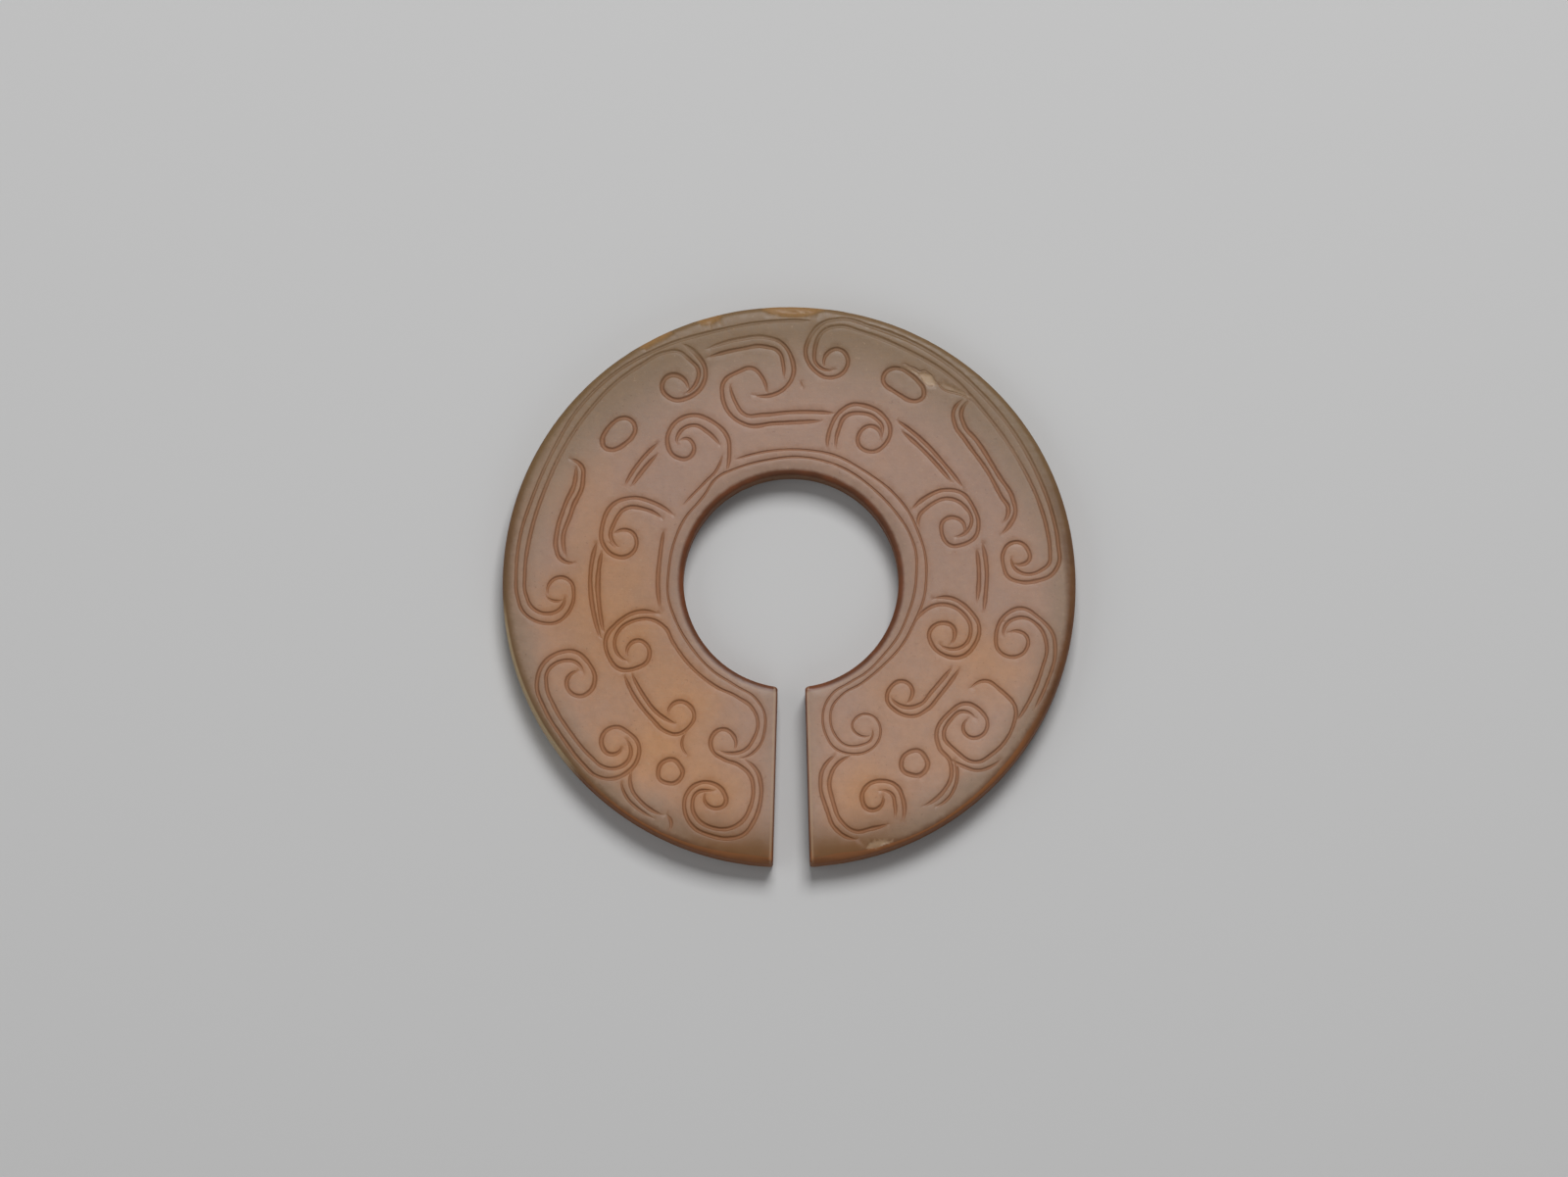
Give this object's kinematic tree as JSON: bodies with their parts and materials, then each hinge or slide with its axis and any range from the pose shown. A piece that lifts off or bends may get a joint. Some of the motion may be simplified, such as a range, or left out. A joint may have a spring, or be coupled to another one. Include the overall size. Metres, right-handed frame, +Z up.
{
  "type": "jade slit ring",
  "caption": "Flat carved jade ring with a round hole and a slit that opens it at one side; incised double-line scrolls cover its upper face, its underside is plain",
  "frame": {"origin": "middle of the underside, on the surface that the ring lies on", "axes": "+Z up through the thickness, out of the carved face; +X to the right with the slit towards -Y"},
  "size_m": [0.046, 0.0453, 0.0028],
  "materials": {
    "jade": "polished"
  },
  "bodies": {
    "root": {"slit_ring": "jade"}
  },
  "joints": []
}
